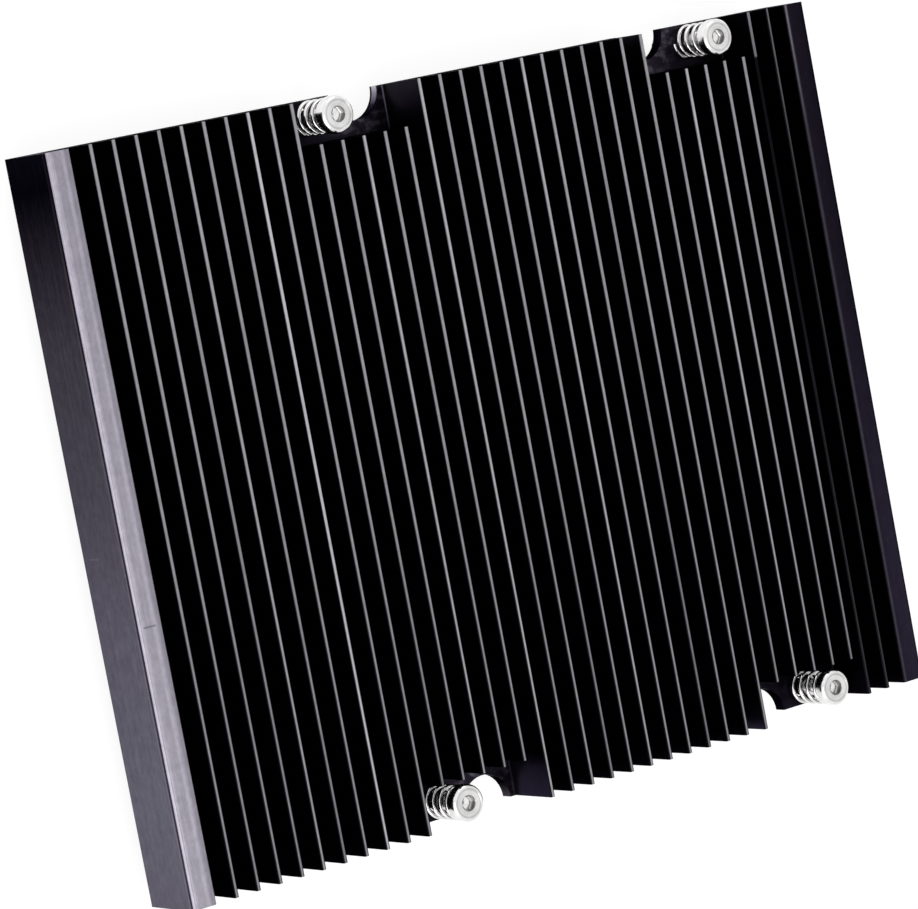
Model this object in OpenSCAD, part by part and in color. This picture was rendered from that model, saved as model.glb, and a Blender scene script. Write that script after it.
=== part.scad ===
// Plate heat sink: a finned aluminium extrusion with four spring-loaded, captive fixing screws.
// X runs across the fins, Y along them, Z up from the contact face to the fin tips.
// The origin is the middle of the contact face. Sizes are in millimetres.

/* [Body] */
// Length of the extrusion, along the fins
body_len = 106; // [90:1:150]
// Height from the contact face to the tips of the full fins
body_h = 11; // [9:0.5:20]
// Thickness of the base plate
base_t = 2; // [1.8:0.1:4]
// Width of the full-height side rail
rail_w = 4; // [2:0.1:8]
// Width of the lower side rail
low_rail_w = 4; // [2:0.1:8]
// How far the lower fins and the lower rail stop below the full fins
low_drop = 1.6; // [0.2:0.1:4]
// Rounding of the rails' inner top edges
rail_edge_r = 0.35; // [0.1:0.05:0.8]
// Rounding of the rails' outer top edges
rail_corner_r = 0.8; // [0.2:0.05:1]

/* [Fins] */
// Thickness of a fin
fin_t = 0.7; // [0.5:0.05:1.2]
// Clear gap between two fins
fin_gap = 3; // [2.6:0.1:5]
// Rounding of a fin's tip
fin_tip_r = 0.2; // [0.05:0.01:0.24]
// Fillet at a fin's root
fin_root_r = 0.3; // [0.1:0.05:0.8]
// Fins between the full-height rail and the first notch
fins_before_notch = 10; // [6:1:14]
// Fins cut short in each notch
notch_fins = 5; // [5:1:8]
// Fins between the two notches
fins_between_notches = 12; // [8:1:16]
// Lower fins beside the lower rail
low_fins = 2; // [1:1:4]

/* [Notches] */
// How far a notch reaches in from the end
notch_depth = 6.4; // [5.8:0.1:9]
// Radius of the half-round cut-out in the base's end edge
cutout_r = 4.35; // [3:0.05:5]
// Distance from a notch's middle to its cut-out
cutout_offset = 5; // [4.5:0.1:5.5]
// Distance from a notch's middle to its screw
screw_offset = 3.55; // [3:0.05:5]
// How far the screws and cut-outs stand to the right of the notches' middles
pattern_shift = 0.5; // [0:0.1:0.6]
// Distance from a screw's axis to the end of the body
screw_inset = 2.7; // [2.6:0.05:3]

/* [Screws] */
// Outer diameter of the thread
thread_d = 3; // [2.9:0.1:3.2]
// Length of thread below the retaining ring
thread_len = 5.2; // [3:0.1:12]
// Diameter of the plain shank
shank_d = 2.6; // [2.3:0.05:2.8]
// Diameter of the head
head_d = 5.5; // [5.3:0.1:6]
// Height of the head
head_h = 1.8; // [1.6:0.1:3]
// Rounding of the head's top rim
head_rim_r = 0.6; // [0.1:0.05:0.7]
// Chamfer under the head
head_chamfer = 0.2; // [0.1:0.05:0.3]
// Width of the hex socket across its flats
socket_af = 2; // [1.5:0.1:2.5]
// Depth of the hex socket
socket_depth = 1.1; // [0.6:0.1:1.3]
// Chamfer at the screw's tip
tip_chamfer = 0.4; // [0.2:0.05:0.6]
// Chamfer at the thread's upper end, below the retaining ring
thread_chamfer = 0.3; // [0.2:0.05:0.35]
// Room between the thread and its hole, on the diameter
hole_clearance = 0.2; // [0.2:0.05:0.5]

/* [Springs] */
// Outer diameter of a spring
spring_d = 5.2; // [4.8:0.05:5.2]
// Diameter of the spring wire
wire_d = 0.55; // [0.4:0.05:0.65]
// Length of a spring as fitted
spring_len = 6.4; // [5:0.1:10]
// Turns in a spring
spring_turns = 4; // [3:0.5:6]
// Turns at each end that are wound close
closed_turns = 0.5; // [0.25:0.25:0.75]

/* [Retaining rings] */
// Outer diameter of a ring
ring_d = 4.5; // [4.2:0.1:4.8]
// Thickness of a ring
ring_t = 0.5; // [0.4:0.05:0.6]
// Width of a ring's band
ring_band = 0.7; // [0.5:0.05:0.8]
// Width of a ring's inner lugs
ring_lug_w = 0.9; // [0.6:0.05:1]
// Width of a ring's mouth
ring_mouth = 1.6; // [1.3:0.05:1.7]
// Diameter of the screw's groove for the ring
groove_d = 1.9; // [1.7:0.05:2.1]
// Room round the ring in the relief under the base
relief_clearance = 0.35; // [0.2:0.05:0.5]
// Depth of the relief under the base
relief_depth = 0.7; // [0.65:0.05:0.9]
// Gap left at seats and fits
seat_gap = 0.02; // [0.01:0.01:0.04]

/* [Hidden] */
CORNERS = ["front_left", "front_right", "back_left", "back_right"];

$fn = 48;
arc_steps = 4;
wire_sides = 8;
steps_per_turn = 16;
cut_margin = 1;

full_fins = fins_before_notch + 2 * notch_fins + fins_between_notches;
fin_count = full_fins + low_fins;
body_w = rail_w + low_rail_w + fin_count * fin_t + (fin_count + 1) * fin_gap;
low_h = body_h - low_drop;
end_y = body_len / 2;
head_seat_z = base_t + spring_len;
ring_top_z = relief_depth - seat_gap;
ring_bottom_z = ring_top_z - ring_t;
thread_top_z = ring_bottom_z - seat_gap;
screw_tip_z = ring_bottom_z - thread_len;
screw_y = end_y - screw_inset;

// Left face of fin k, counted from 1 at the full-height rail
function fin_x(k) = -body_w / 2 + rail_w + k * fin_gap + (k - 1) * fin_t;

// First fin of the left (-1) or right (1) notch
function notch_first(side) =
    fins_before_notch + 1 + (side < 0 ? 0 : notch_fins + fins_between_notches);

// Middle of the left or right notch
function notch_x(side) =
    (fin_x(notch_first(side)) + fin_x(notch_first(side) + notch_fins - 1) + fin_t) / 2;

function screw_x(side) = notch_x(side) + side * screw_offset + pattern_shift;
function cutout_x(side) = notch_x(side) - side * cutout_offset + pattern_shift;

// Corner i of CORNERS: side is -1 at the left, end is -1 at the front
function corner_side(i) = i % 2 == 0 ? -1 : 1;
function corner_end(i) = i < 2 ? -1 : 1;

// Points of an arc in a profile, from angle a0 to angle a1
function arc(x, z, r, a0, a1) = [
    for (i = [0:arc_steps])
        let (a = a0 + (a1 - a0) * i / arc_steps)
        [x + r * cos(a), z + r * sin(a)]
];

// Rounded top of an upright from its right face x1 to its left face x0
function rounded_top(x0, x1, h, r0, r1) = concat(
    arc(x1 - r1, h - r1, r1, 0, 90),
    arc(x0 + r0, h - r0, r0, 90, 180)
);

function fillet_up(x) = arc(x + fin_root_r, base_t + fin_root_r, fin_root_r, 270, 180);
function fillet_down(x) = arc(x - fin_root_r, base_t + fin_root_r, fin_root_r, 0, -90);

function fin_outline(k) = concat(
    fillet_up(fin_x(k) + fin_t),
    rounded_top(fin_x(k), fin_x(k) + fin_t, k > full_fins ? low_h : body_h, fin_tip_r, fin_tip_r),
    fillet_down(fin_x(k))
);

// Section of the extrusion, counter-clockwise from the lower left corner
function body_section() = concat(
    [[-body_w / 2, 0], [body_w / 2, 0]],
    rounded_top(body_w / 2 - low_rail_w, body_w / 2, low_h, rail_edge_r, rail_corner_r),
    fillet_down(body_w / 2 - low_rail_w),
    [for (k = [fin_count:-1:1]) for (p = fin_outline(k)) p],
    fillet_up(-body_w / 2 + rail_w),
    rounded_top(-body_w / 2, -body_w / 2 + rail_w, body_h, rail_corner_r, rail_edge_r)
);

// Room milled out of the fins at one end of one notch, down to the base
module notch_cut(side, end) {
    x0 = fin_x(notch_first(side) - 1) + fin_t + fin_root_r;
    x1 = fin_x(notch_first(side) + notch_fins) - fin_root_r;
    y0 = end < 0 ? -end_y - cut_margin : end_y - notch_depth;
    translate([x0, y0, base_t])
        cube([x1 - x0, notch_depth + cut_margin, body_h]);
}

// Recess under the base that takes a ring and is open at the body's end
module ring_relief(side, end) {
    w = ring_d + 2 * relief_clearance;
    translate([screw_x(side), end * screw_y, -cut_margin])
        cylinder(d = w, h = relief_depth + cut_margin);
    y0 = end < 0 ? -end_y - cut_margin : screw_y;
    translate([screw_x(side) - w / 2, y0, -cut_margin])
        cube([w, screw_inset + cut_margin, relief_depth + cut_margin]);
}

module finned_body() {
    color([0.10, 0.10, 0.11])
        difference() {
            rotate([90, 0, 0])
                linear_extrude(body_len, center = true)
                    polygon(body_section());
            for (side = [-1, 1], end = [-1, 1]) {
                notch_cut(side, end);
                ring_relief(side, end);
                translate([cutout_x(side), end * end_y, -cut_margin])
                    cylinder(r = cutout_r, h = base_t + 2 * cut_margin);
                translate([screw_x(side), end * screw_y, -cut_margin])
                    cylinder(d = thread_d + hole_clearance, h = base_t + 2 * cut_margin);
            }
        }
}

// Half section of a screw, from its tip up
function screw_section() = concat(
    [
        [0, screw_tip_z],
        [thread_d / 2 - tip_chamfer, screw_tip_z],
        [thread_d / 2, screw_tip_z + tip_chamfer],
        [thread_d / 2, thread_top_z - thread_chamfer],
        [thread_d / 2 - thread_chamfer, thread_top_z],
        [groove_d / 2, thread_top_z],
        [groove_d / 2, ring_top_z + seat_gap],
        [shank_d / 2, ring_top_z + seat_gap],
        [shank_d / 2, head_seat_z],
        [head_d / 2 - head_chamfer, head_seat_z],
        [head_d / 2, head_seat_z + head_chamfer]
    ],
    arc(head_d / 2 - head_rim_r, head_seat_z + head_h - head_rim_r, head_rim_r, 0, 90),
    [[0, head_seat_z + head_h]]
);

module screw() {
    socket_d = socket_af / cos(30);
    color([0.82, 0.82, 0.80])
        difference() {
            rotate_extrude()
                polygon(screw_section());
            translate([0, 0, head_seat_z + head_h - socket_depth])
                cylinder(d = socket_d, h = socket_depth + cut_margin, $fn = 6);
        }
}

// Height of the spring's wire, above its lower seat, after t turns
free_turns = spring_turns - 2 * closed_turns;
spring_room = spring_len - 2 * seat_gap;
free_pitch = (spring_room - wire_d - 2 * closed_turns * wire_d) / free_turns;
function wire_z(t) =
    wire_d / 2
    + wire_d * min(t, closed_turns)
    + free_pitch * max(0, min(t - closed_turns, free_turns))
    + wire_d * max(0, t - closed_turns - free_turns);

// Ring j of points round the wire
function wire_ring(j) = [
    for (s = [0:wire_sides - 1])
        let (
            t = j / steps_per_turn,
            a = 360 * s / wire_sides,
            r = (spring_d - wire_d) / 2 + wire_d / 2 * cos(a)
        )
        [r * cos(360 * t), r * sin(360 * t), wire_z(t) + wire_d / 2 * sin(a)]
];

module spring() {
    rings = spring_turns * steps_per_turn;
    points = [for (j = [0:rings]) for (p = wire_ring(j)) p];
    sides = [
        for (j = [0:rings - 1])
            for (s = [0:wire_sides - 1])
                let (
                    a = j * wire_sides + s,
                    b = j * wire_sides + (s + 1) % wire_sides
                )
                each [[a, b, b + wire_sides], [a, b + wire_sides, a + wire_sides]]
    ];
    first_end = [for (s = [wire_sides - 1:-1:0]) s];
    last_end = [for (s = [0:wire_sides - 1]) rings * wire_sides + s];
    color([0.70, 0.70, 0.72])
        translate([0, 0, base_t + seat_gap])
            polyhedron(points, concat([first_end, last_end], sides));
}

// Open ring with three lugs that reach into the screw's groove
module ring() {
    bore = groove_d + 2 * seat_gap;
    band_r = ring_d / 2 - ring_band;
    color([0.35, 0.35, 0.37])
        translate([0, 0, ring_bottom_z])
            linear_extrude(ring_t)
                difference() {
                    union() {
                        difference() {
                            circle(d = ring_d);
                            circle(r = band_r);
                        }
                        for (a = [90, 205, 335])
                            rotate(a)
                                translate([0, -ring_lug_w / 2])
                                    square([band_r + ring_band / 2, ring_lug_w]);
                    }
                    circle(d = bore);
                    translate([-ring_mouth / 2, -ring_d])
                        square([ring_mouth, ring_d]);
                }
}

// Moves a piece from the origin to corner i, with the same side of it facing out
module at_corner(i) {
    translate([screw_x(corner_side(i)), corner_end(i) * screw_y, 0])
        rotate(corner_end(i) < 0 ? 0 : 180)
            children();
}

finned_body();
for (i = [0:len(CORNERS) - 1]) {
    at_corner(i) screw();
    at_corner(i) spring();
    at_corner(i) ring();
}
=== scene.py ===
"""Plate heat sink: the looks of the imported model.

A black anodised extrusion with thirty-four fins and four sprung, captive fixing screws.
Lengths are in millimetres until they reach Blender, which works in metres.
"""

import logging
import math
from dataclasses import dataclass, field
from enum import Enum
from typing import Any, Callable, Optional

import bmesh
import bpy
from mathutils import Matrix, Vector


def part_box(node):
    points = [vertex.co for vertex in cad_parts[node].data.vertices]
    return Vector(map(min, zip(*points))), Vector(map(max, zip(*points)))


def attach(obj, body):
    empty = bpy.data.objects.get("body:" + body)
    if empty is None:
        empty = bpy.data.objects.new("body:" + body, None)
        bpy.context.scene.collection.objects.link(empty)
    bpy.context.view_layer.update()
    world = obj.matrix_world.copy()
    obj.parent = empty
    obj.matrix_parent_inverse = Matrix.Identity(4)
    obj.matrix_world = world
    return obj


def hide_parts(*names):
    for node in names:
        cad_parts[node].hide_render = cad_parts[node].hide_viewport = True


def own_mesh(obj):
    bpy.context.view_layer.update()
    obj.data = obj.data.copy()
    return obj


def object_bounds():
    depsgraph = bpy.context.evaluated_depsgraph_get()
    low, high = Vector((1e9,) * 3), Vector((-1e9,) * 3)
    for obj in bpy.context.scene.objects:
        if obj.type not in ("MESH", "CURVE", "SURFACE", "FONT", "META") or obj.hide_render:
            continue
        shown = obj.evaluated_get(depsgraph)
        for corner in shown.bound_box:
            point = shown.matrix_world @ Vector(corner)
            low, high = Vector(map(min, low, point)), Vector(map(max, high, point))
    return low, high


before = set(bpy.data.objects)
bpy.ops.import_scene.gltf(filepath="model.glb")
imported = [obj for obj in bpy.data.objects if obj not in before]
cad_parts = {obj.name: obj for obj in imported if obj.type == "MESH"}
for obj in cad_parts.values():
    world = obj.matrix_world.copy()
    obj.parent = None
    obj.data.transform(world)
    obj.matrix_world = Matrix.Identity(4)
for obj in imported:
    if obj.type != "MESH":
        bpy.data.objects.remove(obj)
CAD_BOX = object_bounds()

LOG = logging.getLogger("heat_sink")
MM = 0.001
WELD = 2e-7
WHITE = (1.0, 1.0, 1.0, 1.0)
# Most values of a noise pattern lie in this span.
NOISE_SPAN = (0.3, 0.7)
# An area lamp of this many watts a square metre has a radiance of one.
LAMP_WATTS = 4.0

Point = tuple[float, float, float]
Ring = list[Point]
Piece = bpy.types.Object
Tree = bpy.types.NodeTree
Socket = bpy.types.NodeSocket
Links = dict[Any, Socket]


class Corner(Enum):
    """The four fixing points of the body."""

    FRONT_LEFT = "front_left"
    FRONT_RIGHT = "front_right"
    BACK_LEFT = "back_left"
    BACK_RIGHT = "back_right"

    def axis(self) -> Vector:
        """Returns the point where this corner's screw axis meets the contact face, in metres."""
        low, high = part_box(f"screw_{self.value}")
        return Vector(((low.x + high.x) / 2, (low.y + high.y) / 2, 0.0))

    def facing(self) -> float:
        """Returns the turn about Z, in degrees, of the pieces at this corner."""
        return 180.0 if self in (Corner.BACK_LEFT, Corner.BACK_RIGHT) else 0.0


class Slot(Enum):
    """The record's material slots of the pieces that are built here."""

    SCREW = "nickel_plated_steel"
    SPRING = "spring_steel"


def linear(code: str) -> tuple[float, float, float, float]:
    """Turns an sRGB hex colour to linear light.

    Args:
        code: The colour as #rrggbb.

    Returns:
        Red, green, blue and a full alpha.
    """
    levels = [int(code[i:i + 2], 16) / 255 for i in (1, 3, 5)]
    flat = [c / 12.92 if c <= 0.04045 else ((c + 0.055) / 1.055) ** 2.4 for c in levels]
    return flat[0], flat[1], flat[2], 1.0


def add_node(
    tree: Tree,
    kind: str,
    settings: Optional[dict[Any, Any]] = None,
    links: Optional[Links] = None,
) -> bpy.types.Node:
    """Adds one shader node.

    Args:
        tree: The tree that gets the node.
        kind: The node's type, without its ShaderNode prefix.
        settings: Values by node attribute, then by socket name or number. A ramp's stops are places with
            hex colours.
        links: Sockets that feed this node, by the name or number of its input.

    Returns:
        The new node.
    """
    node = tree.nodes.new(f"ShaderNode{kind}")
    for key, value in (settings or {}).items():
        if key == "stops":
            elements = node.color_ramp.elements
            for _ in value[2:]:
                elements.new(1.0)
            for element, (place, code) in zip(elements, value):
                element.position = place
                element.color = linear(code)
        elif isinstance(key, str) and key.islower():
            setattr(node, key, value)
        else:
            node.inputs[key].default_value = value
    for key, source in (links or {}).items():
        tree.links.new(source, node.inputs[key])
    return node


def new_material(name: str) -> tuple[bpy.types.Material, Tree, bpy.types.Node]:
    """Starts a material with its output in place.

    Args:
        name: The material's name.

    Returns:
        The material, its node tree and its output node.
    """
    material = bpy.data.materials.new(name)
    material.use_nodes = True
    tree = material.node_tree
    tree.nodes.clear()
    return material, tree, add_node(tree, "OutputMaterial")


def loft(name: str, rings: list[Ring], smooth_angle: float) -> Piece:
    """Skins rings of points into one closed mesh.

    Each ring runs once round and repeats its first place at its end, so that a helix can meet its next turn.

    Args:
        name: The piece's name.
        rings: Rings of the same length, in millimetres, from one end to the other.
        smooth_angle: Edges sharper than this, in degrees, stay sharp.

    Returns:
        The new object, at the origin.
    """
    mesh = bmesh.new()
    rows = [[mesh.verts.new(Vector(p) * MM) for p in ring] for ring in rings]
    for row, above in zip(rows, rows[1:]):
        for j in range(len(row) - 1):
            mesh.faces.new((row[j], row[j + 1], above[j + 1], above[j]))
    mesh.faces.new(reversed(rows[0][:-1]))
    mesh.faces.new(rows[-1][:-1])
    bmesh.ops.remove_doubles(mesh, verts=mesh.verts, dist=WELD)
    bmesh.ops.dissolve_degenerate(mesh, dist=WELD, edges=mesh.edges)
    bmesh.ops.recalc_face_normals(mesh, faces=mesh.faces)
    data = bpy.data.meshes.new(name)
    mesh.to_mesh(data)
    mesh.free()
    data.shade_smooth()
    data.set_sharp_from_angle(angle=math.radians(smooth_angle))
    piece = bpy.data.objects.new(name, data)
    bpy.context.scene.collection.objects.link(piece)
    return piece


def circle(radius: float, height: float, columns: int) -> Ring:
    """Makes one level ring.

    Args:
        radius: The ring's radius, in millimetres.
        height: The ring's height, in millimetres.
        columns: Points in one round.

    Returns:
        The ring, with its first place repeated at the end.
    """
    angles = [2 * math.pi * j / columns for j in range(columns + 1)]
    return [(radius * math.cos(a), radius * math.sin(a), height) for a in angles]


class Measure(Enum):
    """What a zone of the body's finish is bounded by, or runs along."""

    X = "millimetres across the fins"
    Y = "millimetres along the fins"
    Z = "millimetres above the contact face"
    REACH = "millimetres from the middle towards either end"
    CUT = "millimetres from the axis of the nearest cut-out"
    CREST = "millimetres from the middle of the nearest fin"
    SIDE = "how far the surface faces across the fins"
    END = "how far the surface faces either end"
    TOP = "how far the surface faces up"
    LINES = "drawing lines along the extrusion"
    SAW = "saw marks across the ends"
    GRAIN = "etched grain"
    MOTTLE = "fine mottling"
    NICKS = "wear along the fin tips"
    FIN = "how one fin differs from the next"
    BLOTCH = "blotches"
    CLOUD = "soft clouds"


Measures = dict[Measure, Socket]
Limits = tuple[tuple[Measure, float, float], ...]
Tones = tuple[tuple[float, str], ...]

# Limits that several zones share: a measure, where the zone begins along it and where the zone is full.
RAIL_SIDE: Limits = ((Measure.SIDE, -0.85, -0.97), (Measure.X, -68.1, -68.3))
RAIL_TOP: Limits = ((Measure.Z, 10.5, 10.7), (Measure.X, -64.2, -64.3))
LOW_TOPS: Limits = ((Measure.Z, 9.2, 9.3), (Measure.Z, 10.0, 9.9))
LOW_RAIL_TOP: Limits = LOW_TOPS + ((Measure.X, 64.2, 64.3), (Measure.TOP, 0.8, 0.97))
LOW_CRESTS: Limits = LOW_TOPS + ((Measure.TOP, 0.98, 0.998), (Measure.CREST, 0.16, 0.11))
FIN_TIPS: Limits = ((Measure.Z, 10.75, 10.85), (Measure.X, -64.2, -64.0))
CREST_LINE: Limits = ((Measure.Z, 10.9, 10.95), (Measure.TOP, 0.99, 0.998), (Measure.CREST, 0.16, 0.11))
FIN_CRESTS: Limits = FIN_TIPS + CREST_LINE
BRIGHT_FIN: Limits = ((Measure.X, -35.7, -35.6), (Measure.X, -34.6, -34.7))
NOTCH_FLOORS: Limits = ((Measure.REACH, 46.5, 46.65), (Measure.Z, 2.3, 2.15), (Measure.TOP, 0.82, 0.97))
ROOT_FILLETS: Limits = (
    (Measure.Z, 2.45, 2.3), (Measure.TOP, 0.2, 0.5), (Measure.TOP, 0.985, 0.97), (Measure.CUT, 4.4, 4.6),
)
NOTCH_SIDES: Limits = ((Measure.SIDE, -0.9, -0.97), (Measure.CUT, 8.7, 8.4))
CUT_WALLS: Limits = ((Measure.CUT, 4.5, 4.4), (Measure.TOP, 0.5, 0.3))
LEFT_CUTS: Limits = ((Measure.X, 20.0, 0.0),)


@dataclass(frozen=True)
class Zone:
    """A part of the body's surface with tones of its own.

    Attributes:
        limits: Measures that bound it, each with the value where it begins and the value where it is full.
        run: The measure that its tones are spread along.
        tones: Places along that measure, each with an sRGB hex colour.
    """

    limits: Limits
    run: Measure
    tones: Tones

    def lay(self, tree: Tree, measures: Measures, below: Socket) -> Socket:
        """Lays the zone's tones over a colour.

        Args:
            tree: The material's tree.
            measures: The sockets that give each measure.
            below: The colour that the zone covers.

        Returns:
            The colour with the zone on it.
        """
        edges = []
        for measure, begin, full in self.limits:
            ramp = {"interpolation_type": "SMOOTHSTEP", 1: begin, 2: full}
            edges.append(add_node(tree, "MapRange", ramp, {0: measures[measure]}).outputs[0])
        mask = edges[0]
        for edge in edges[1:]:
            mask = add_node(tree, "Math", {"operation": "MULTIPLY"}, {0: mask, 1: edge}).outputs[0]
        low, high = self.tones[0][0], self.tones[-1][0]
        along = add_node(tree, "MapRange", {1: low, 2: high}, {0: measures[self.run]}).outputs[0]
        stops = [((place - low) / (high - low), code) for place, code in self.tones]
        tone = add_node(tree, "ValToRGB", {"stops": stops}, {0: along}).outputs[0]
        return add_node(tree, "Mix", {"data_type": "RGBA"}, {0: mask, 6: below, 7: tone}).outputs[2]


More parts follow.
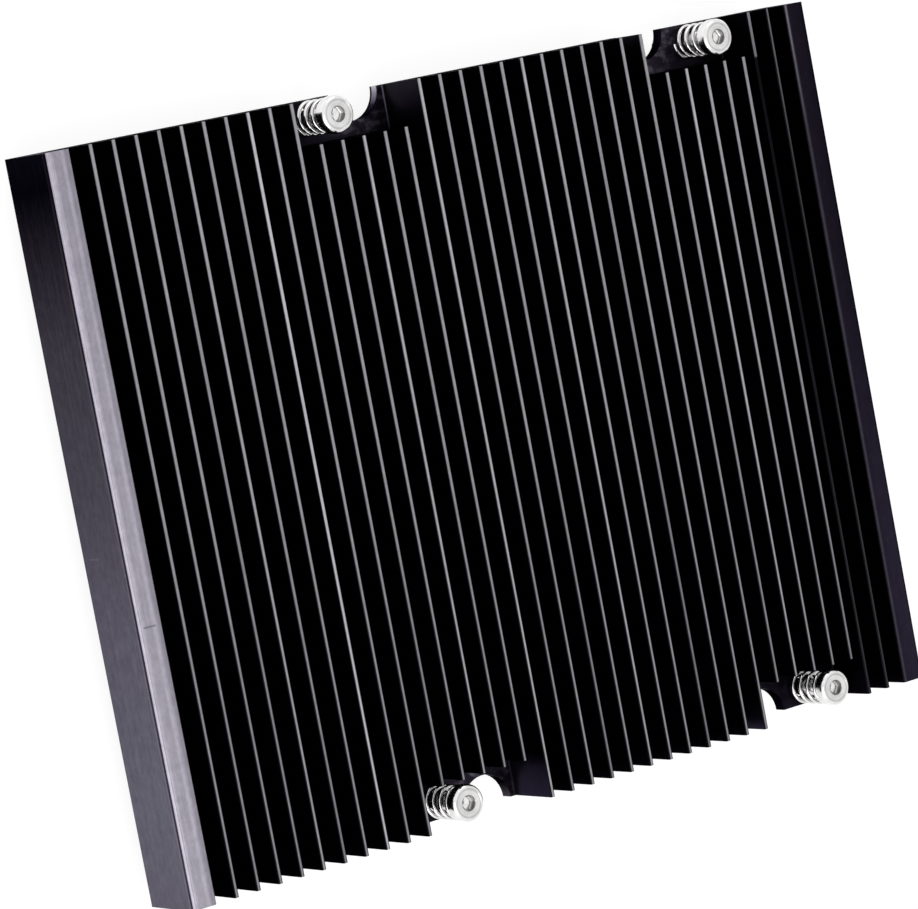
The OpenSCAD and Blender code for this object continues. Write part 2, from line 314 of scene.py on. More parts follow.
# The finish of the body, from the whole film to its small marks, with painted highlights and painted shade
# among them. A later zone covers an earlier one.
BODY_ZONES: tuple[Zone, ...] = (
    # Soft clouds where the dye turns violet.
    Zone(((Measure.CLOUD, 0.45, 0.7),), Measure.CLOUD, ((0.45, "#0b0a0d"), (0.7, "#151119"))),
    # The sawn ends.
    Zone(((Measure.END, 0.9, 0.98),), Measure.Z, ((0.0, "#15131a"), (11.0, "#0d0b10"))),
    # The flat contact face and the outer side of the lower rail, with the drawing lines in their film.
    Zone(((Measure.TOP, -0.9, -0.98),), Measure.LINES, ((0.3, "#19161d"), (0.7, "#231f28"))),
    Zone(
        ((Measure.SIDE, 0.9, 0.97), (Measure.X, 68.1, 68.3)), Measure.LINES,
        ((0.3, "#2a2730"), (0.7, "#34303a")),
    ),
    # The outer side of the full-height rail, in painted light and shade: pale at the front, darkening to the
    # back.
    Zone(
        RAIL_SIDE, Measure.Y,
        (
            (-53.0, "#6f6c77"), (-38.0, "#706e79"), (-16.0, "#696672"), (5.0, "#57555d"), (26.0, "#4a484f"),
            (37.0, "#39363c"), (44.0, "#27252b"), (48.0, "#18161e"), (53.0, "#1e1c23"),
        ),
    ),
    # Painted shade on the turn of that rail's rounded edge that faces away from the light, darker to the
    # back.
    Zone(
        ((Measure.X, -68.0, -68.1), (Measure.SIDE, -0.7, -0.78), (Measure.SIDE, -0.93, -0.88)), Measure.Y,
        ((-53.0, "#3b3742"), (0.0, "#2f2c36"), (30.0, "#1d1a22"), (53.0, "#08070a")),
    ),
    # A light scuff on the rail's side.
    Zone(
        RAIL_SIDE + (
            (Measure.Z, 1.2, 2.0), (Measure.Z, 4.8, 4.0), (Measure.Y, -3.5, -3.3), (Measure.Y, -3.1, -3.3),
        ),
        Measure.Z,
        ((1.0, "#6f6c77"), (5.0, "#67646f")),
    ),
    # The dark top of the lower rail, with a painted highlight along its inner edge that brightens to the
    # back, and a paler front.
    Zone(
        LOW_RAIL_TOP, Measure.X,
        ((64.3, "#3c3b41"), (64.8, "#3c3943"), (65.2, "#1b1821"), (67.0, "#191620"), (68.4, "#15121a")),
    ),
    Zone(
        LOW_RAIL_TOP + ((Measure.Y, 30.0, 55.0), (Measure.X, 65.0, 64.75)), Measure.X,
        ((64.3, "#7a7780"), (65.0, "#6d6a73")),
    ),
    Zone(
        LOW_RAIL_TOP + ((Measure.Y, 20.0, -45.0), (Measure.X, 64.8, 65.2)), Measure.X,
        ((64.8, "#25212e"), (68.4, "#2a2633")),
    ),
    # The tips of the two low fins: painted shadow of the last full fin on the first, a dim painted highlight
    # on the second, and a painted highlight on the first beside the back notch, where the full fin is cut
    # away.
    Zone(
        LOW_CRESTS + ((Measure.X, 59.0, 58.8),), Measure.Y,
        ((-53.0, "#343436"), (-30.0, "#303032"), (-10.0, "#232325"), (10.0, "#18181a"), (46.0, "#121214")),
    ),
    Zone(
        LOW_CRESTS + ((Measure.X, 59.0, 59.2), (Measure.X, 64.1, 64.0)), Measure.Y,
        ((-53.0, "#3a3a3c"), (0.0, "#323234"), (30.0, "#3c3c3e"), (46.0, "#5c5c5f"), (53.0, "#666669")),
    ),
    # A painted highlight on the first low fin beside the back notch, where the last full fin no longer shades
    # it.
    Zone(
        LOW_TOPS + (
            (Measure.TOP, 0.8, 0.97), (Measure.Y, 46.0, 46.4), (Measure.X, 56.0, 56.5),
            (Measure.X, 58.5, 58.0),
        ),
        Measure.Y,
        ((46.0, "#707074"), (53.0, "#7a7a7e")),
    ),
    # Painted highlights on the tips of the full fins: their rounded shoulders, pale at the back, then their
    # crests.
    Zone(
        FIN_TIPS + ((Measure.TOP, 0.75, 0.82),), Measure.Y,
        ((-53.0, "#0b0a0d"), (0.0, "#17161a"), (30.0, "#48474c"), (53.0, "#5d5c61")),
    ),
    Zone(
        FIN_TIPS + ((Measure.TOP, 0.93, 0.97),), Measure.Y,
        ((-53.0, "#2f2e32"), (-25.0, "#3c3b40"), (0.0, "#78777b"), (30.0, "#8a898d"), (53.0, "#8f8e92")),
    ),
    Zone(
        FIN_CRESTS, Measure.Y,
        ((-53.0, "#88878b"), (-25.0, "#8b8a8e"), (0.0, "#939296"), (53.0, "#99989c")),
    ),
    # Crests whose painted highlight is brighter or duller than the rest, at random, and one whose painted
    # highlight is bright all along.
    Zone(FIN_CRESTS + ((Measure.FIN, 0.5, 0.62),), Measure.Y, ((-53.0, "#9b9a9e"), (53.0, "#b0afb3"))),
    Zone(
        FIN_CRESTS + ((Measure.FIN, 0.46, 0.36),), Measure.Y,
        ((-53.0, "#707074"), (0.0, "#818085"), (53.0, "#8d8c90")),
    ),
    Zone(
        BRIGHT_FIN + ((Measure.Z, 10.9, 10.95), (Measure.TOP, 0.93, 0.97)), Measure.Y,
        ((-53.0, "#4f4e53"), (-25.0, "#69686d"), (0.0, "#a1a0a5"), (53.0, "#acabaf")),
    ),
    Zone(BRIGHT_FIN + CREST_LINE, Measure.Y, ((-53.0, "#b3b2b7"), (53.0, "#b9b8bd"))),
    # The pale top of the full-height rail, a painted highlight, brightest along its rounded outer edge and in
    # bands across it.
    Zone(
        RAIL_TOP + ((Measure.TOP, 0.6, 0.8),), Measure.X,
        (
            (-68.2, "#7a7581"), (-67.85, "#a49fab"), (-67.6, "#b1acb8"), (-67.05, "#94909c"),
            (-66.1, "#95919d"), (-65.65, "#a7a3af"), (-65.2, "#88848f"), (-64.4, "#928e99"),
        ),
    ),
    # The painted highlight on that top, a little paler towards the front end.
    Zone(
        RAIL_TOP + ((Measure.TOP, 0.9, 0.99), (Measure.Y, 45.0, -40.0), (Measure.X, -67.55, -67.4)),
        Measure.X,
        (
            (-67.6, "#aeaab6"), (-67.1, "#a09ca8"), (-66.1, "#a29eaa"), (-65.65, "#b2aeba"),
            (-65.2, "#8f8b97"), (-64.4, "#918d98"),
        ),
    ),
    # A scratch across that top.
    Zone(
        RAIL_TOP + (
            (Measure.TOP, 0.9, 0.98), (Measure.X, -67.7, -67.2), (Measure.X, -65.2, -65.7),
            (Measure.Y, -13.4, -13.2), (Measure.Y, -12.95, -13.15),
        ),
        Measure.X,
        ((-67.7, "#716d78"), (-65.2, "#817d88")),
    ),
    # The milled floors of the notches, and their blotches round the half-round cut-outs.
    Zone(NOTCH_FLOORS, Measure.CUT, ((4.3, "#2a2631"), (9.0, "#1d1a23"), (14.0, "#16131b"))),
    Zone(
        NOTCH_FLOORS + ((Measure.BLOTCH, 0.42, 0.64), (Measure.CUT, 9.0, 4.6)), Measure.BLOTCH,
        ((0.4, "#3a3642"), (0.75, "#6a6573")),
    ),
    # The front right notch's floor, darker than the others.
    Zone(
        NOTCH_FLOORS + ((Measure.Y, -10.0, -20.0), (Measure.X, 25.0, 30.0)), Measure.BLOTCH,
        ((0.3, "#121016"), (0.7, "#1d1a23")),
    ),
    # Milled root fillets: a painted highlight on those beside the back notches and painted shade in the front
    # ones.
    # Then the side of the fin beside the left notches, paler at the front, in painted shade towards each
    # notch's inner end.
    Zone(ROOT_FILLETS + ((Measure.Y, 46.5, 46.65),), Measure.Y, ((46.6, "#1b1920"), (53.0, "#47434e"))),
    Zone(ROOT_FILLETS + ((Measure.Y, -46.5, -46.65),), Measure.Y, ((-53.0, "#121014"), (-46.6, "#0d0b0f"))),
    Zone(
        NOTCH_SIDES + ((Measure.Y, 46.4, 46.7),), Measure.Y,
        ((46.6, "#121115"), (49.5, "#26242a"), (53.0, "#2f2d33")),
    ),
    Zone(
        NOTCH_SIDES + ((Measure.Y, -46.4, -46.7),), Measure.Y,
        ((-53.0, "#302d38"), (-48.5, "#2b2832"), (-46.6, "#18161b")),
    ),
    # The cut-outs' walls, paler at the front, with a painted highlight at the back end of the left ones.
    Zone(CUT_WALLS + ((Measure.Z, 2.2, 2.1),), Measure.Z, ((0.0, "#0f0d12"), (2.0, "#19161e"))),
    Zone(
        CUT_WALLS + LEFT_CUTS + ((Measure.Z, 2.2, 2.1), (Measure.Y, -50.3, -51.0)), Measure.Y,
        ((-53.0, "#4c484c"), (-50.5, "#1f1c22")),
    ),
    Zone(
        CUT_WALLS + LEFT_CUTS + ((Measure.Z, 0.3, 0.6), (Measure.Z, 1.9, 1.5), (Measure.Y, 48.0, 49.0)),
        Measure.Y,
        ((48.6, "#19161e"), (50.4, "#3a3641"), (52.0, "#928e9a"), (53.0, "#c9c6cf")),
    ),
)


@dataclass(frozen=True)
class MetalFinish:
    """What the metal finishes share: a bare metal surface with a fine relief.

    Attributes:
        name: The material's name.
        edge_tint: The tint of its reflections at grazing angles.
        roughness: The least and the most roughness.
        bump: How strongly the relief shows.
        bump_mm: The relief's depth, in millimetres.
    """

    name: str = "bare_metal"
    edge_tint: str = "#ffffff"
    roughness: tuple[float, float] = (0.1, 0.3)
    bump: float = 0.1
    bump_mm: float = 0.01

    def place(self, tree: Tree) -> Socket:
        """Returns the socket that gives the place on the piece, in millimetres."""
        place = add_node(tree, "TexCoord").outputs["Object"]
        return add_node(tree, "VectorMath", {"operation": "SCALE", "Scale": 1 / MM}, {0: place}).outputs[0]

    def coat(
        self,
        tree: Tree,
        output: bpy.types.Node,
        colour: Socket,
        rough: Socket,
        height: Socket,
    ) -> None:
        """Joins the finish's patterns into its metal surface.

        Args:
            tree: The material's tree.
            output: The material's output.
            colour: The pattern of its colour.
            rough: The pattern of its roughness.
            height: The pattern of its relief.
        """
        bump = add_node(
            tree, "Bump", {"Strength": self.bump, "Distance": self.bump_mm * MM}, {"Height": height}
        ).outputs[0]
        shader = add_node(
            tree,
            "BsdfPrincipled",
            {"Metallic": 1.0, "Specular Tint": linear(self.edge_tint)},
            {"Base Color": colour, "Roughness": rough, "Normal": bump},
        ).outputs[0]
        tree.links.new(shader, output.inputs[0])


@dataclass(frozen=True)
class AnodisedExtrusion(MetalFinish):
    """Black-dyed anodic film on extruded aluminium, sawn to length and milled at the notches."""

    # To the eye it is near-black metal with a violet cast where light lies on it. Drawing lines run along it,
    # the tops of the full fins and of their rail carry pale painted highlights, and painted shade darkens the
    # rail's side to the back.
    name: str = "black_anodised_extruded_aluminium"
    film: str = "#0b0a0d"
    film_violet: str = "#151119"
    edge_tint: str = "#77727f"
    roughness: tuple[float, float] = (0.29, 0.39)
    grain_roughness: float = 0.08
    grain_height: float = 0.6
    bump: float = 0.25
    bump_mm: float = 0.02
    end_y: float = 53.0
    cutouts_x: tuple[float, float] = (-11.15, 41.75)
    first_fin_x: float = -61.05
    fin_pitch: float = 3.7
    # Sizes of each pattern's grains along X, Y and Z, in millimetres.
    # Drawing lines, saw marks and grain are some four times as coarse as real ones, so that they show.
    patterns: tuple[tuple[Measure, Point], ...] = (
        (Measure.LINES, (0.22, 55.0, 0.22)),
        (Measure.SAW, (45.0, 1.0, 0.24)),
        (Measure.GRAIN, (0.16, 0.16, 0.16)),
        (Measure.MOTTLE, (0.55, 0.9, 0.55)),
        (Measure.NICKS, (1.2, 2.4, 1.2)),
        (Measure.FIN, (2.3, 900.0, 900.0)),
        (Measure.BLOTCH, (1.6, 1.1, 1.6)),
        (Measure.CLOUD, (18.0, 18.0, 18.0)),
    )
    pattern_detail: float = 3.0
    pattern_fade: float = 0.55
    # Each of these patterns takes the tone from its first factor to its second.
    shades: tuple[tuple[Measure, float, float], ...] = (
        (Measure.LINES, 0.9, 1.1), (Measure.MOTTLE, 0.92, 1.08), (Measure.NICKS, 1.08, 0.92),
    )
    zones: tuple[Zone, ...] = BODY_ZONES

    def measures(self, tree: Tree, place: Socket) -> Measures:
        """Makes the sockets that the zones are drawn with.

        Args:
            tree: The material's tree.
            place: The place on the body, in millimetres.

        Returns:
            A socket for each measure.
        """
        axes = add_node(tree, "SeparateXYZ", None, {0: place}).outputs
        facing = add_node(tree, "NewGeometry").outputs["Normal"]
        normal = add_node(tree, "SeparateXYZ", None, {0: facing}).outputs
        reach = add_node(tree, "Math", {"operation": "ABSOLUTE"}, {0: axes[1]}).outputs[0]
        end = add_node(tree, "Math", {"operation": "ABSOLUTE"}, {0: normal[1]}).outputs[0]
        folded = add_node(tree, "CombineXYZ", None, {0: axes[0], 1: reach}).outputs[0]
        spans = [
            add_node(
                tree, "VectorMath", {"operation": "DISTANCE", 1: (x, self.end_y, 0.0)}, {0: folded}
            ).outputs["Value"]
            for x in self.cutouts_x
        ]
        cut = add_node(tree, "Math", {"operation": "MINIMUM"}, {0: spans[0], 1: spans[1]}).outputs[0]
        past = add_node(tree, "Math", {"operation": "SUBTRACT", 1: self.first_fin_x}, {0: axes[0]}).outputs[0]
        crest = add_node(tree, "Math", {"operation": "PINGPONG", 1: self.fin_pitch / 2}, {0: past}).outputs[0]
        found = {
            Measure.X: axes[0], Measure.Y: axes[1], Measure.Z: axes[2], Measure.REACH: reach,
            Measure.CUT: cut, Measure.CREST: crest, Measure.SIDE: normal[0], Measure.END: end,
            Measure.TOP: normal[2],
        }
        settings = {"Scale": 1.0, "Detail": self.pattern_detail, "Roughness": self.pattern_fade}
        for measure, size in self.patterns:
            scale = tuple(1 / s for s in size)
            spread = add_node(tree, "VectorMath", {"operation": "MULTIPLY", 1: scale}, {0: place}).outputs[0]
            found[measure] = add_node(tree, "TexNoise", settings, {"Vector": spread}).outputs[0]
        return found

    def material(self) -> bpy.types.Material:
        """Makes the material.

        Returns:
            The material.
        """
        material, tree, output = new_material(self.name)
        measures = self.measures(tree, self.place(tree))
        colour = add_node(
            tree, "Mix", {"data_type": "RGBA", 6: linear(self.film), 7: linear(self.film_violet)},
            {0: measures[Measure.MOTTLE]},
        ).outputs[2]
        for zone in self.zones:
            colour = zone.lay(tree, measures, colour)
        low, high = NOISE_SPAN
        for measure, first, second in self.shades:
            factor = add_node(
                tree, "MapRange", {1: low, 2: high, 3: first, 4: second}, {0: measures[measure]}
            ).outputs[0]
            colour = add_node(
                tree, "Mix", {"data_type": "RGBA", "blend_type": "MULTIPLY", 0: 1.0}, {6: colour, 7: factor}
            ).outputs[2]
        # Drawing lines give way to saw marks on the ends.
        marks = add_node(
            tree, "Mix", {"data_type": "FLOAT"},
            {0: measures[Measure.END], 2: measures[Measure.LINES], 3: measures[Measure.SAW]},
        ).outputs[0]
        least, most = self.roughness
        gloss = add_node(tree, "MapRange", {1: low, 2: high, 3: least, 4: most}, {0: marks}).outputs[0]
        # The grain adds to the roughness and to the relief of the lines.
        grain = measures[Measure.GRAIN]
        rough = add_node(
            tree, "Math", {"operation": "MULTIPLY_ADD", 1: self.grain_roughness}, {0: grain, 2: gloss}
        ).outputs[0]
        height = add_node(
            tree, "Math", {"operation": "MULTIPLY_ADD", 1: self.grain_height}, {0: grain, 2: marks}
        ).outputs[0]
        self.coat(tree, output, colour, rough, height)
        return material


@dataclass(frozen=True)
class NickelPlate(MetalFinish):
    """Bright nickel plate on a turned steel screw."""

    # To the eye it is clear, pale metal with fine rings from turning and faint clouds. The head has a pale
    # rim and a dished face with painted reflections on it, and a socket whose walls are in painted shade
    # above a bright floor.
    name: str = "nickel_plated_turned_steel"
    plate: str = "#efeeee"
    # Painted reflections on the head from its axis outwards, and painted shade on its socket's walls from the
    # floor up, at places in millimetres.
    head: Tones = (
        (0.0, "#dedddd"), (1.3, "#dedddd"), (1.85, "#e3e2e2"), (2.0, "#c4c3c2"), (2.12, "#c9c8c7"),
        (2.28, "#ebeaea"), (2.75, "#f1f0f0"),
    )
    socket: Tones = (
        (0.0, "#f2f1f1"), (0.03, "#e2e1e1"), (0.08, "#9c9b9a"), (0.4, "#727170"), (0.85, "#5f5e5d"),
        (1.0, "#7a7978"),
    )
    socket_blend: float = 0.03
    head_blend: tuple[float, float] = (0.1, 0.3)
    cloud: float = 0.84
    cloud_span: tuple[float, float] = (0.42, 0.62)
    roughness: tuple[float, float] = (0.12, 0.29)
    bump: float = 0.08
    bump_mm: float = 0.01
    ring_height: float = 0.5
    # Turning rings are drawn about four times as wide as real ones, so that they show.
    ring_mm: float = 0.16
    speck_mm: float = 0.35
    cloud_mm: float = 2.2

    def material(self, head_seat: float, socket_floor: float, socket_radius: float) -> bpy.types.Material:
        """Makes the material.

        Args:
            head_seat: Height of the head's underside, in millimetres.
            socket_floor: Height of the socket's floor, in millimetres.
            socket_radius: Radius of the socket's mouth, in millimetres.

        Returns:
            The material.
        """
        material, tree, output = new_material(self.name)
        mm = self.place(tree)
        axes = add_node(tree, "SeparateXYZ", None, {0: mm}).outputs
        flat = add_node(tree, "CombineXYZ", None, {0: axes[0], 1: axes[1]}).outputs[0]
        radius = add_node(tree, "VectorMath", {"operation": "LENGTH"}, {0: flat}).outputs["Value"]
        turn = add_node(
            tree, "Math", {"operation": "MULTIPLY", 1: 2 * math.pi / self.ring_mm}, {0: radius}
        ).outputs[0]
        rings = add_node(tree, "Math", {"operation": "SINE"}, {0: turn}).outputs[0]
        # The head's painted reflections and the socket's painted shade.
        tones = []
        for scale, start, source in ((self.head, 0.0, radius), (self.socket, socket_floor, axes[2])):
            length = scale[-1][0]
            along = add_node(tree, "MapRange", {1: start, 2: start + length}, {0: source}).outputs[0]
            stops = [(place / length, code) for place, code in scale]
            tones.append(add_node(tree, "ValToRGB", {"stops": stops}, {0: along}).outputs[0])
        inside = add_node(
            tree, "MapRange", {1: socket_radius, 2: socket_radius - self.socket_blend}, {0: radius}
        ).outputs[0]
        tone = add_node(tree, "Mix", {"data_type": "RGBA"}, {0: inside, 6: tones[0], 7: tones[1]}).outputs[2]
        low, high = self.head_blend
        above = add_node(tree, "MapRange", {1: head_seat + low, 2: head_seat + high}, {0: axes[2]}).outputs[0]
        clean = add_node(
            tree, "Mix", {"data_type": "RGBA", 6: linear(self.plate)}, {0: above, 7: tone}
        ).outputs[2]
        clouds = add_node(
            tree, "TexNoise", {"Scale": 1 / self.cloud_mm, "Detail": 2.0}, {"Vector": mm}
        ).outputs[0]
        low, high = self.cloud_span
        dull = add_node(tree, "MapRange", {1: low, 2: high, 3: 1.0, 4: self.cloud}, {0: clouds}).outputs[0]
        colour = add_node(
            tree, "Mix", {"data_type": "RGBA", "blend_type": "MULTIPLY", 0: 1.0}, {6: clean, 7: dull}
        ).outputs[2]
        specks = add_node(
            tree, "TexNoise", {"Scale": 1 / self.speck_mm, "Detail": 4.0}, {"Vector": mm}
        ).outputs[0]
        least, most = self.roughness
        gloss = add_node(tree, "MapRange", {3: least, 4: most}, {0: specks}).outputs[0]
        relief = add_node(
            tree, "Math", {"operation": "MULTIPLY_ADD", 1: self.ring_height}, {0: rings, 2: specks}
        ).outputs[0]
        self.coat(tree, output, colour, gloss, relief)
        return material


@dataclass(frozen=True)
class DrawnWire(MetalFinish):
    """Bright drawn spring wire."""

    # To the eye it is clear, shiny steel with faint lines along the wire.
    name: str = "drawn_spring_steel_wire"
    bright: str = "#ecebeb"
    dull: str = "#cac9c8"
    wear_span: tuple[float, float] = (0.35, 0.75)
    roughness: tuple[float, float] = (0.04, 0.22)
    bump: float = 0.03
    bump_mm: float = 0.008
    # Drawing lines are several times as wide as real ones, so that they show.
    line_mm: float = 0.16
    line_length_mm: float = 6.0

    def material(self, wire_round_mm: float, wire_length_mm: float) -> bpy.types.Material:
        """Makes the material.

        Args:
            wire_round_mm: Length once round the wire.
            wire_length_mm: Length of the wire from end to end.

        Returns:
            The material.
        """
        material, tree, output = new_material(self.name)
        unrolled = add_node(tree, "UVMap", {"uv_map": "wire"}).outputs[0]
        scale = (wire_length_mm / self.line_length_mm, wire_round_mm / self.line_mm, 1.0)
        along = add_node(tree, "VectorMath", {"operation": "MULTIPLY", 1: scale}, {0: unrolled}).outputs[0]
        lines = add_node(tree, "TexNoise", {"Scale": 1.0, "Detail": 2.0}, {"Vector": along}).outputs[0]
        low, high = self.wear_span
        wear = add_node(tree, "MapRange", {1: low, 2: high}, {0: lines}).outputs[0]
        colour = add_node(
            tree, "Mix", {"data_type": "RGBA", 6: linear(self.bright), 7: linear(self.dull)}, {0: wear}
        ).outputs[2]
        least, most = self.roughness
        gloss = add_node(tree, "MapRange", {3: least, 4: most}, {0: lines}).outputs[0]
        self.coat(tree, output, colour, gloss, lines)
        return material


@dataclass(frozen=True)
class OiledStrip(MetalFinish):
    """Stamped spring strip, hardened and oiled."""

    # To the eye it is dark blue-grey steel with soft mottling.
    name: str = "stamped_hardened_spring_strip"
    strip: str = "#55565a"
    mottle: str = "#3c3b3f"
    mottle_span: tuple[float, float] = (0.35, 0.7)
    roughness: tuple[float, float] = (0.28, 0.5)
    bump: float = 0.25
    bump_mm: float = 0.01
    mottle_mm: float = 0.8
    grain_mm: float = 0.12

    def material(self) -> bpy.types.Material:
        """Makes the material.

        Returns:
            The material.
        """
        material, tree, output = new_material(self.name)
        mm = self.place(tree)
        mottle = add_node(
            tree, "TexNoise", {"Scale": 1 / self.mottle_mm, "Detail": 3.0}, {"Vector": mm}
        ).outputs[0]
        grain = add_node(
            tree, "TexNoise", {"Scale": 1 / self.grain_mm, "Detail": 2.0}, {"Vector": mm}
        ).outputs[0]
        low, high = self.mottle_span
        patch = add_node(tree, "MapRange", {1: low, 2: high}, {0: mottle}).outputs[0]
        colour = add_node(
            tree, "Mix", {"data_type": "RGBA", 6: linear(self.strip), 7: linear(self.mottle)}, {0: patch}
        ).outputs[2]
        least, most = self.roughness
        gloss = add_node(tree, "MapRange", {3: least, 4: most}, {0: grain}).outputs[0]
        self.coat(tree, output, colour, gloss, grain)
        return material


@dataclass
class FinnedBody:
    """The one-piece extrusion with its fins, rails, notches and cut-outs."""

    node: str = "finned_body"
    finish: AnodisedExtrusion = field(default_factory=AnodisedExtrusion)

    def dress(self) -> Piece:
        """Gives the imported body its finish.

        Returns:
            The body.
        """
        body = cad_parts[self.node]
        body.data.materials.clear()
        body.data.materials.append(self.finish.material())
        return body


@dataclass
class CapScrew:
    """A low-head socket screw with a waisted shank, a ring groove and a rolled thread."""

    finish: NickelPlate = field(default_factory=NickelPlate)
    tip: float = -5.02
    tip_radius: float = 1.1
    thread_top: float = 0.16
    thread_radius: float = 1.5
    thread_start_radius: float = 1.19
    pitch: float = 0.5
    # Depth of the thread as a share of its pitch.
    thread_depth: float = 0.6134
    # Places within one pitch, each with the depth of the profile there: crest, flank, root, flank.
    thread_profile: tuple[tuple[float, float], ...] = (
        (0.0, 0.0), (0.125, 0.0), (0.4, 0.92), (0.5625, 1.0), (0.725, 0.92),
    )
    groove_radius: float = 0.95
    groove_top: float = 0.7
    shank_radius: float = 1.3
    head_seat: float = 8.4
    head_radius: float = 2.75
    head_top: float = 10.2
    head_chamfer: float = 0.2
    neck_fillet: float = 0.15
    rim_radius: float = 0.6
    dish_slope: float = 0.18
    dish_depth: float = 0.09
    socket_flats: float = 2.0
    socket_floor: float = 9.1
    socket_mouth: float = 1.2
    socket_lead: float = 0.06
    drill_radius: float = 0.7
    drill_depth: float = 0.22
    drill_point: float = 0.02
    columns: int = 72
    rim_steps: int = 8
    smooth_angle: float = 32.0

    def thread_rings(self) -> list[Ring]:
        """Makes the thread as rings that climb one pitch a turn.

        Returns:
            Rings from the tip to the thread's upper end.
        """
        depth = self.thread_depth * self.pitch
        turns = math.ceil((self.thread_top - self.tip) / self.pitch) + 1
        rings = []
        for turn in range(-1, turns):
            for place, sunk in self.thread_profile:
                rings.append(self.climb((turn + place) * self.pitch, self.thread_radius - sunk * depth))
        return rings

    def climb(self, start: float, radius: float) -> Ring:
        """Makes one line of the thread, once round.

        Args:
            start: Height above the tip where the line starts, in millimetres.
            radius: The line's radius, where no end chamfer cuts it.

        Returns:
            The line as a ring.
        """
        ring = []
        for j in range(self.columns + 1):
            angle = 2 * math.pi * j / self.columns
            height = self.tip + start + self.pitch * j / self.columns
            height = min(max(height, self.tip), self.thread_top)
            lower = self.tip_radius + height - self.tip
            upper = self.thread_start_radius + self.thread_top - height
            reach = min(radius, lower, upper)
            ring.append((reach * math.cos(angle), reach * math.sin(angle), height))
        return ring

    def hexagon(self, height: float) -> Ring:
        """Makes one ring of the socket's six-sided wall.

        Args:
            height: The ring's height, in millimetres.

        Returns:
            The ring.
        """
        ring = []
        for j in range(self.columns + 1):
            angle = 2 * math.pi * j / self.columns
            off = angle % (math.pi / 3) - math.pi / 6
            reach = self.socket_flats / 2 / math.cos(off)
            ring.append((reach * math.cos(angle), reach * math.sin(angle), height))
        return ring

    def section(self) -> list[tuple[float, float]]:
        """Gives the half section from the thread's upper end to the socket's mouth.

        Returns:
            Each ring's radius and height, in millimetres.
        """
        points = [
            (self.thread_start_radius, self.thread_top),
            (self.groove_radius, self.thread_top),
            (self.groove_radius, self.groove_top),
            (self.shank_radius, self.groove_top),
            (self.shank_radius, self.head_seat - self.neck_fillet),
            (self.shank_radius + self.neck_fillet, self.head_seat),
            (self.head_radius - self.head_chamfer, self.head_seat),
            (self.head_radius, self.head_seat + self.head_chamfer),
        ]
        for i in range(self.rim_steps + 1):
            angle = math.pi / 2 * i / self.rim_steps
            radius = self.head_radius - self.rim_radius * (1 - math.cos(angle))
            points.append((radius, self.head_top - self.rim_radius * (1 - math.sin(angle))))
        dish = self.head_top - self.dish_depth
        points.append((self.head_radius - self.rim_radius - self.dish_slope, dish))
        points.append((self.socket_mouth, dish))
        return points

    def build(self, corner: Corner) -> Piece:
        """Builds the screw at one corner.

        Args:
            corner: The corner it belongs to.

        Returns:
            The screw.
        """
        rings = self.thread_rings()
        rings += [circle(radius, height, self.columns) for radius, height in self.section()]
        rings.append(self.hexagon(self.head_top - self.dish_depth - self.socket_lead))
        rings.append(self.hexagon(self.socket_floor))
        rings.append(circle(self.drill_radius, self.socket_floor, self.columns))
        rings.append(circle(self.drill_point, self.socket_floor - self.drill_depth, self.columns))
        name = f"screw_{corner.value}"
        screw = loft(f"cap_{name}", rings, self.smooth_angle)
        screw.location = corner.axis()
        screw.rotation_euler.z = math.radians(corner.facing())
        material = bpy.data.materials.get(self.finish.name)
        if material is None:
            material = self.finish.material(self.head_seat, self.socket_floor, self.socket_mouth)
        screw.data.materials.append(material)
        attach(screw, name)
        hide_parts(name)
        return screw


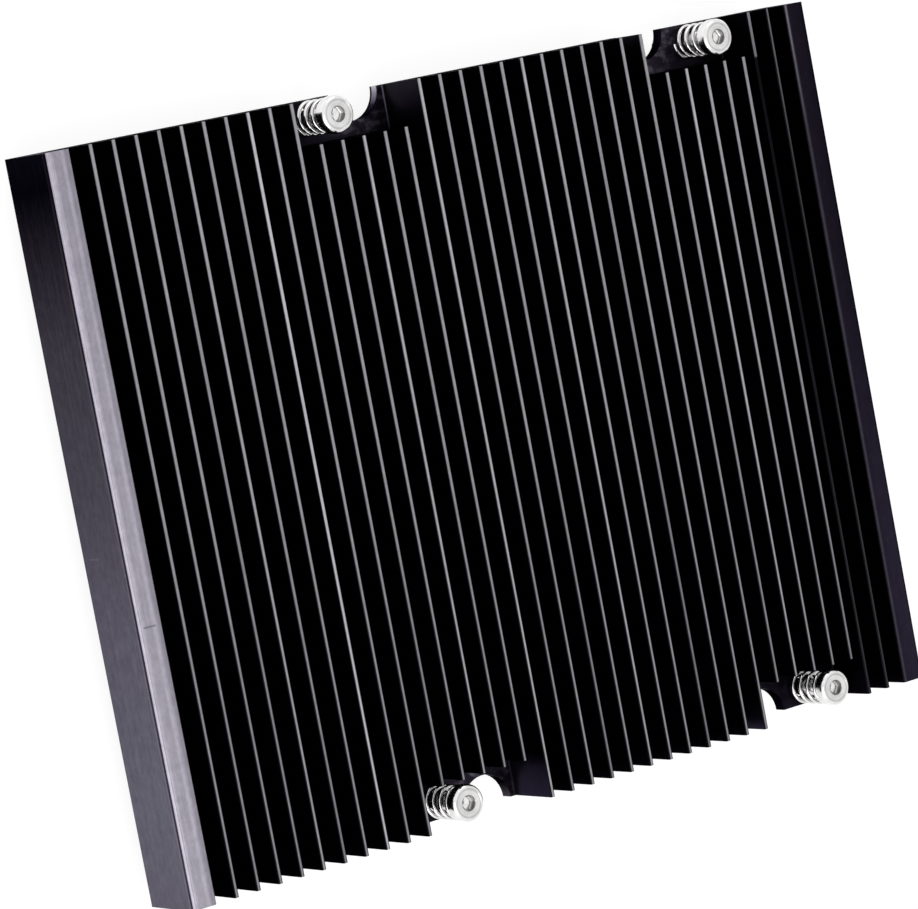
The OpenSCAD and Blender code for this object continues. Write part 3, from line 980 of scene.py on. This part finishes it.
@dataclass
class CompressionSpring:
    """A round-wire compression spring with closed, ground ends."""

    finish: DrawnWire = field(default_factory=DrawnWire)
    seat: float = 2.02
    room: float = 6.36
    outer: float = 5.2
    wire: float = 0.55
    turns: float = 4.0
    closed: float = 0.5
    travel: float = 3.0
    ground: float = 0.18
    # Parts of a turn over which the height is evened out, to take the kink out where the pitch changes.
    ease: tuple[float, ...] = (-0.1, -0.05, 0.0, 0.05, 0.1)
    sides: int = 20
    steps: int = 72
    smooth_angle: float = 50.0

    def rise(self, turn: float) -> float:
        """Gives the height of the wire's middle above the lower seat.

        Args:
            turn: Turns from the lower end.

        Returns:
            The height, in millimetres.
        """
        free = self.turns - 2 * self.closed
        pitch = (self.room - self.wire * (1 + 2 * self.closed)) / free
        low = min(turn, self.closed)
        mid = max(0.0, min(turn - self.closed, free))
        high = max(0.0, turn - self.closed - free)
        # Grinding flattens the first and last part of a turn, so the wire's middle starts lower there.
        sink = self.ground * max(0.0, 1 - turn / self.closed)
        lift = self.ground * max(0.0, 1 - (self.turns - turn) / self.closed)
        return self.wire / 2 + self.wire * (low + high) + pitch * mid - sink + lift

    def rings(self) -> list[Ring]:
        """Makes the wire as rings along the helix.

        Returns:
            Rings from the lower end to the upper end.
        """
        coil = (self.outer - self.wire) / 2
        rings = []
        for i in range(int(self.turns * self.steps) + 1):
            turn = i / self.steps
            angle = 2 * math.pi * turn
            near = [min(max(turn + part, 0.0), self.turns) for part in self.ease]
            height = sum(self.rise(place) for place in near) / len(near)
            ring = []
            for s in range(self.sides + 1):
                round_wire = 2 * math.pi * s / self.sides
                reach = coil + self.wire / 2 * math.cos(round_wire)
                level = height + self.wire / 2 * math.sin(round_wire)
                level = self.seat + min(max(level, 0.0), self.room)
                ring.append((reach * math.cos(angle), reach * math.sin(angle), level))
            rings.append(ring)
        return rings

    def unroll(self, spring: Piece) -> None:
        """Lays the wire out flat in a UV map: U along it, V round it.

        Args:
            spring: The spring, with its axis on its own origin.
        """
        coil = (self.outer - self.wire) / 2
        layer = spring.data.uv_layers.new(name="wire")
        for polygon in spring.data.polygons:
            middle = polygon.center / MM
            turn = self.turn_at(middle)
            drop = middle.z - self.seat - self.rise(turn)
            centre = math.atan2(drop, math.hypot(middle.x, middle.y) - coil) / (2 * math.pi)
            for index in polygon.loop_indices:
                corner = spring.data.vertices[spring.data.loops[index].vertex_index].co / MM
                angle = math.atan2(corner.y, corner.x) / (2 * math.pi)
                along = turn + (angle - turn + 0.5) % 1.0 - 0.5
                level = corner.z - self.seat - self.rise(min(max(along, 0.0), self.turns))
                side = math.atan2(level, math.hypot(corner.x, corner.y) - coil) / (2 * math.pi)
                side = centre + (side - centre + 0.5) % 1.0 - 0.5
                layer.data[index].uv = (along / self.turns, side)

    def turn_at(self, place: Vector) -> float:
        """Finds how many turns along the wire a place lies.

        Args:
            place: The place, in millimetres from the spring's axis.

        Returns:
            Turns from the lower end.
        """
        angle = math.atan2(place.y, place.x) / (2 * math.pi) % 1.0
        choices = [angle + n for n in range(-1, int(self.turns) + 1)]
        inside = [min(max(t, 0.0), self.turns) for t in choices]
        gaps = [abs(self.rise(t) + self.seat - place.z) for t in inside]
        return inside[gaps.index(min(gaps))]

    def build(self, corner: Corner) -> Piece:
        """Builds the spring at one corner.

        Args:
            corner: The corner it belongs to.

        Returns:
            The spring.
        """
        spring = loft(f"coil_spring_{corner.value}", self.rings(), self.smooth_angle)
        self.unroll(spring)
        axis = corner.axis()
        spring.location = axis
        spring.rotation_euler.z = math.radians(corner.facing())
        material = bpy.data.materials.get(self.finish.name)
        if material is None:
            length = math.pi * (self.outer - self.wire) * self.turns
            material = self.finish.material(math.pi * self.wire, length)
        spring.data.materials.append(material)
        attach(spring, "finned_body")
        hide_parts(f"spring_{corner.value}")
        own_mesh(spring)
        return spring


@dataclass
class RetainingRing:
    """An open stamped ring that holds a screw in the body."""

    finish: OiledStrip = field(default_factory=OiledStrip)
    edge: float = 0.05
    edge_steps: int = 2
    edge_angle: float = 40.0

    def dress(self, corner: Corner) -> Piece:
        """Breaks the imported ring's sharp edges and gives it its finish.

        Args:
            corner: The corner it belongs to.

        Returns:
            The ring.
        """
        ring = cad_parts[f"ring_{corner.value}"]
        material = bpy.data.materials.get(self.finish.name) or self.finish.material()
        ring.data.materials.clear()
        ring.data.materials.append(material)
        weld = ring.modifiers.new("weld", "WELD")
        weld.merge_threshold = WELD
        bevel = ring.modifiers.new("broken_edges", "BEVEL")
        bevel.width = self.edge * MM
        bevel.segments = self.edge_steps
        bevel.limit_method = "ANGLE"
        bevel.angle_limit = math.radians(self.edge_angle)
        return ring


@dataclass(frozen=True)
class Lamp:
    """One soft square lamp that looks at the object."""

    name: str
    azimuth: float
    elevation: float
    distance: float
    size: float
    radiance: float

    def build(self, target: Vector) -> Piece:
        """Places the lamp.

        Args:
            target: The point it looks at, in metres.

        Returns:
            The lamp.
        """
        data = bpy.data.lights.new(self.name, "AREA")
        data.shape = "SQUARE"
        data.size = self.size
        data.energy = self.radiance * LAMP_WATTS * self.size * self.size
        lamp = bpy.data.objects.new(self.name, data)
        bpy.context.scene.collection.objects.link(lamp)
        level = math.cos(math.radians(self.elevation))
        away = Vector((
            level * math.cos(math.radians(self.azimuth)),
            level * math.sin(math.radians(self.azimuth)),
            math.sin(math.radians(self.elevation)),
        ))
        lamp.location = target + away * self.distance
        lamp.rotation_euler = away.to_track_quat("Z", "Y").to_euler()
        return lamp


@dataclass
class Studio:
    """The camera, the pale floor, the white surroundings and the soft lamps."""

    target: Point = (-7.014, -1.606, 5.5)
    distance: float = 649.52
    azimuth: float = 169.786
    elevation: float = 55.225
    roll: float = 87.767
    lens: float = 175.49
    sensor: float = 36.0
    nearest: float = 0.01
    farthest: float = 50.0
    floor_size: float = 6.0
    floor_gap: float = 0.01
    floor_lit: str = "#949494"
    floor_glow: float = 0.85
    # Clumps of paper fibre are drawn coarser than real ones, so that they show.
    fibre_mm: float = 20 / 3
    fibre_bump: float = 0.05
    fibre_depth: float = 0.1
    ambient: float = 0.55
    lamps: tuple[Lamp, ...] = (
        Lamp("key_softbox", 215.0, 52.0, 0.95, 0.75, 1.6),
        Lamp("side_softbox", 75.0, 32.0, 1.1, 0.6, 0.9),
    )

    def camera(self) -> Piece:
        """Places the camera.

        Returns:
            The camera.
        """
        data = bpy.data.cameras.new("camera")
        data.lens = self.lens
        data.sensor_width = self.sensor
        data.sensor_fit = "HORIZONTAL"
        data.clip_start = self.nearest
        data.clip_end = self.farthest
        camera = bpy.data.objects.new("camera", data)
        bpy.context.scene.collection.objects.link(camera)
        azimuth = math.radians(self.azimuth)
        elevation = math.radians(self.elevation)
        roll = math.radians(self.roll)
        level = math.cos(elevation)
        back = Vector((level * math.cos(azimuth), level * math.sin(azimuth), math.sin(elevation)))
        side = Vector((0, 0, 1)).cross(back).normalized()
        rise = back.cross(side)
        right = side * math.cos(roll) + rise * math.sin(roll)
        up = rise * math.cos(roll) - side * math.sin(roll)
        turn = Matrix((right, up, back)).transposed().to_4x4()
        camera.matrix_world = Matrix.Translation((Vector(self.target) + back * self.distance) * MM) @ turn
        bpy.context.scene.camera = camera
        return camera

    def seen(self, tree: Tree) -> Socket:
        """Finds the rays that show the surroundings: those of the camera, of gloss and of glass.

        Args:
            tree: The tree that needs them.

        Returns:
            A socket that is 1 for those rays.
        """
        rays = add_node(tree, "LightPath").outputs
        first = add_node(
            tree, "Math", {"operation": "MAXIMUM"}, {0: rays["Is Camera Ray"], 1: rays["Is Glossy Ray"]}
        ).outputs[0]
        return add_node(
            tree, "Math", {"operation": "MAXIMUM"}, {0: first, 1: rays["Is Transmission Ray"]}
        ).outputs[0]

    def floor(self) -> Piece:
        """Lays the floor under the screws' tips.

        Returns:
            The floor.
        """
        material, tree, output = new_material("matt_white_paper_floor")
        # To the eye it is plain matt white paper, with a faint unevenness from its fibres.
        scale = self.floor_size / (self.fibre_mm * MM)
        fibre = add_node(tree, "TexNoise", {"Scale": scale, "Detail": 3.0}).outputs[0]
        bump = add_node(
            tree, "Bump", {"Strength": self.fibre_bump, "Distance": self.fibre_depth * MM}, {"Height": fibre}
        ).outputs[0]
        paper = add_node(tree, "BsdfDiffuse", {"Color": linear(self.floor_lit)}, {"Normal": bump}).outputs[0]
        level = add_node(
            tree, "Math", {"operation": "MULTIPLY", 1: self.floor_glow}, {0: self.seen(tree)}
        ).outputs[0]
        glow = add_node(tree, "Emission", {"Color": WHITE}, {"Strength": level}).outputs[0]
        both = add_node(tree, "AddShader", None, {0: paper, 1: glow}).outputs[0]
        # The floor shows from above only, so that the contact face can be looked at.
        below = add_node(tree, "NewGeometry").outputs["Backfacing"]
        clear = add_node(tree, "BsdfTransparent").outputs[0]
        sided = add_node(tree, "MixShader", None, {0: below, 1: both, 2: clear})
        tree.links.new(sided.outputs[0], output.inputs[0])
        half = self.floor_size / 2
        height = CAD_BOX[0][2] - self.floor_gap * MM
        data = bpy.data.meshes.new("floor")
        signs = ((-1, -1), (1, -1), (1, 1), (-1, 1))
        data.from_pydata([(half * x, half * y, height) for x, y in signs], [], [(0, 1, 2, 3)])
        floor = bpy.data.objects.new("floor", data)
        bpy.context.scene.collection.objects.link(floor)
        data.materials.append(material)
        return floor

    def surroundings(self) -> bpy.types.World:
        """Makes white surroundings that light the object at a plain level.

        Returns:
            The world.
        """
        world = bpy.data.worlds.new("white_surroundings")
        bpy.context.scene.world = world
        world.use_nodes = True
        tree = world.node_tree
        tree.nodes.clear()
        level = add_node(tree, "MapRange", {3: self.ambient, 4: 1.0}, {0: self.seen(tree)}).outputs[0]
        light = add_node(tree, "Background", {"Color": WHITE}, {"Strength": level}).outputs[0]
        add_node(tree, "OutputWorld", None, {0: light})
        return world

    def build(self) -> None:
        """Builds the camera, the floor, the surroundings and the lamps."""
        self.camera()
        self.floor()
        self.surroundings()
        target = Vector(self.target) * MM
        for lamp in self.lamps:
            lamp.build(target)
        bpy.context.scene.view_settings.view_transform = "Standard"


def main() -> None:
    """Builds and dresses every piece, then the studio."""
    logging.basicConfig(level=logging.INFO, format="%(name)s: %(message)s")
    body = FinnedBody().dress()
    LOG.info("dressed %s", body.name)
    steps: list[Callable[[Corner], Piece]] = [
        CapScrew().build,
        CompressionSpring().build,
        RetainingRing().dress,
    ]
    for corner in Corner:
        for step in steps:
            LOG.info("made %s", step(corner).name)
    Studio().build()


if __name__ == "__main__":
    main()
